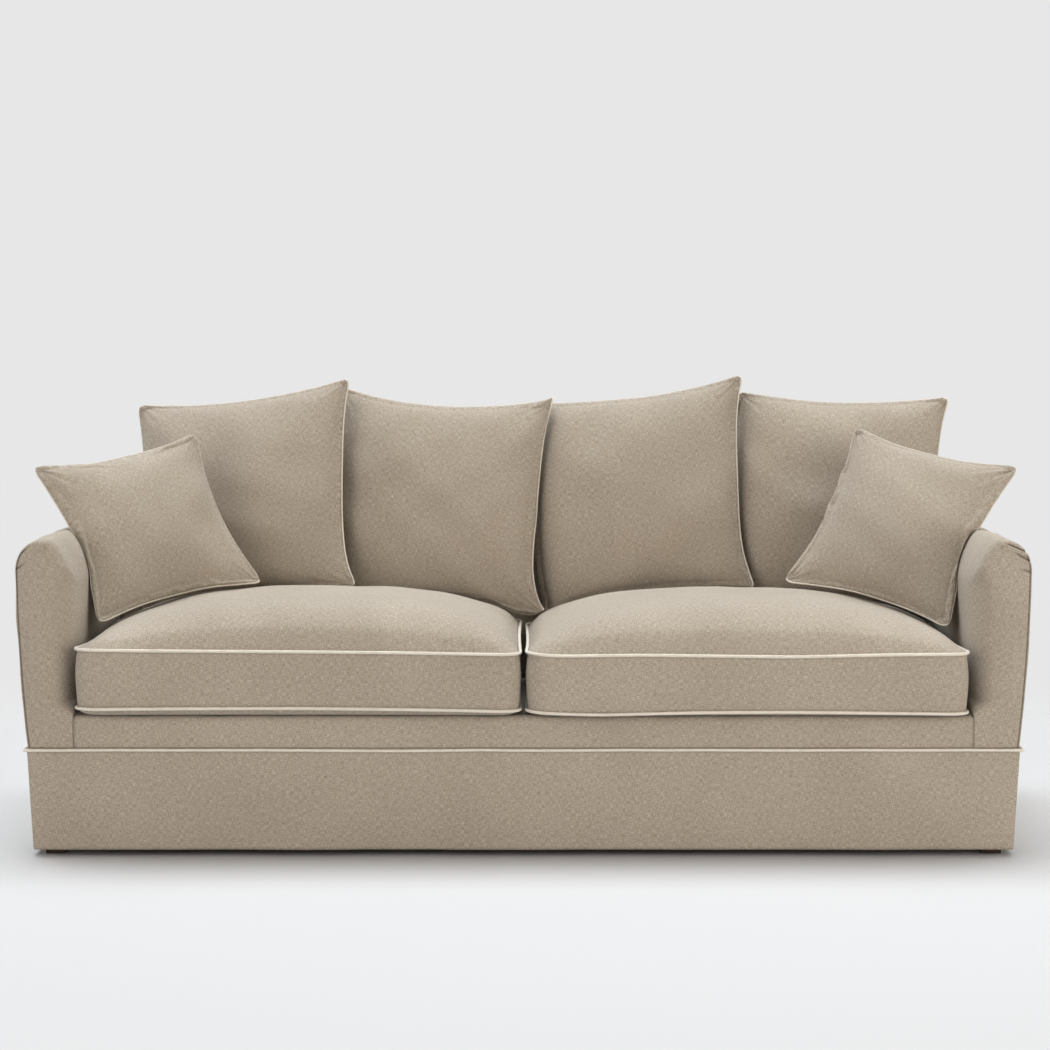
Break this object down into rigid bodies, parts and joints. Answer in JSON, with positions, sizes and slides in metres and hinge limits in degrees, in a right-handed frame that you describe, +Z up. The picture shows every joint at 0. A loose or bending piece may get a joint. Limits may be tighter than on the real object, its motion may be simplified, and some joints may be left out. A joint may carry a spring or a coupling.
{
  "type": "loose cushion sofa",
  "caption": "Sofa with a piped loose linen cover, corner-split skirt, crowned seat cushions, knife-edge back cushions and small scatter cushions.",
  "frame": {"origin": "on the floor, at the middle of the centre foot's underside", "axes": "+X to the viewer's right along the seat, +Y from front to rear, +Z up"},
  "size_m": [2.2281, 0.9493, 1.0213],
  "materials": {
    "linen": "matte",
    "piping": "matte",
    "foam": "matte",
    "beech": "matte",
    "dark_wood": "satin",
    "spring_steel": "satin",
    "canvas": "matte",
    "dust_cloth": "matte"
  },
  "bodies": {
    "frame_and_cover": {"front_rail": "beech", "rear_rail": "beech", "centre_rail": "beech", "side_rail_left": "beech", "side_rail_right": "beech", "arm_stump_left": "beech", "arm_stump_right": "beech", "arm_post_left": "beech", "arm_post_right": "beech", "arm_top_rail_left": "beech", "arm_top_rail_right": "beech", "back_post_left": "beech", "back_post_right": "beech", "back_top_rail": "beech", "foot_front_left": "dark_wood", "foot_front_right": "dark_wood", "foot_rear_left": "dark_wood", "foot_rear_right": "dark_wood", "foot_centre": "dark_wood", "dust_cover": "dust_cloth", "seat_spring_1": "spring_steel", "seat_spring_2": "spring_steel", "seat_spring_3": "spring_steel", "seat_spring_4": "spring_steel", "seat_spring_5": "spring_steel", "seat_spring_6": "spring_steel", "seat_spring_7": "spring_steel", "seat_spring_8": "spring_steel", "cover_deck": "linen", "deck_pad": "foam", "cover_arm_left": "linen", "cover_arm_right": "linen", "arm_pad_left": "foam", "arm_pad_right": "foam", "cover_back": "linen", "back_pad": "foam", "back_canvas": "canvas", "skirt_front": "linen", "skirt_left": "linen", "skirt_right": "linen", "skirt_back": "linen", "skirt_piping": "piping"},
    "left_seat_cushion": {"seat_cushion_left": "linen", "seat_piping_top_left": "piping", "seat_piping_bottom_left": "piping"},
    "right_seat_cushion": {"seat_cushion_right": "linen", "seat_piping_top_right": "piping", "seat_piping_bottom_right": "piping"},
    "first_back_cushion": {"back_cushion_1": "linen", "back_piping_1": "piping"},
    "second_back_cushion": {"back_cushion_2": "linen", "back_piping_2": "piping"},
    "third_back_cushion": {"back_cushion_3": "linen", "back_piping_3": "piping"},
    "fourth_back_cushion": {"back_cushion_4": "linen", "back_piping_4": "piping"},
    "left_scatter_cushion": {"scatter_cushion_left": "linen", "scatter_piping_left": "piping"},
    "right_scatter_cushion": {"scatter_cushion_right": "linen", "scatter_piping_right": "piping"}
  },
  "joints": [
    {"name": "left_seat_draws_out", "type": "slide", "parent": "frame_and_cover", "child": "left_seat_cushion", "axis": [0, -1, 0], "range_m": [0, 0.8]},
    {"name": "right_seat_draws_out", "type": "slide", "parent": "frame_and_cover", "child": "right_seat_cushion", "axis": [0, -1, 0], "range_m": [0, 0.8]},
    {"name": "first_back_lifts_out", "type": "slide", "parent": "frame_and_cover", "child": "first_back_cushion", "axis": [0, 0.2756, 0.9613], "range_m": [0, 0.4]},
    {"name": "second_back_lifts_out", "type": "slide", "parent": "frame_and_cover", "child": "second_back_cushion", "axis": [0, 0.2756, 0.9613], "range_m": [0, 0.4]},
    {"name": "third_back_lifts_out", "type": "slide", "parent": "frame_and_cover", "child": "third_back_cushion", "axis": [0, 0.2756, 0.9613], "range_m": [0, 0.4]},
    {"name": "fourth_back_lifts_out", "type": "slide", "parent": "frame_and_cover", "child": "fourth_back_cushion", "axis": [0, 0.2756, 0.9613], "range_m": [0, 0.4]},
    {"name": "left_scatter_lifts_out", "type": "slide", "parent": "frame_and_cover", "child": "left_scatter_cushion", "axis": [0.2004, -0.5011, 0.8419], "range_m": [0, 0.4]},
    {"name": "right_scatter_lifts_out", "type": "slide", "parent": "frame_and_cover", "child": "right_scatter_cushion", "axis": [-0.2004, -0.5011, 0.8419], "range_m": [0, 0.4]}
  ]
}
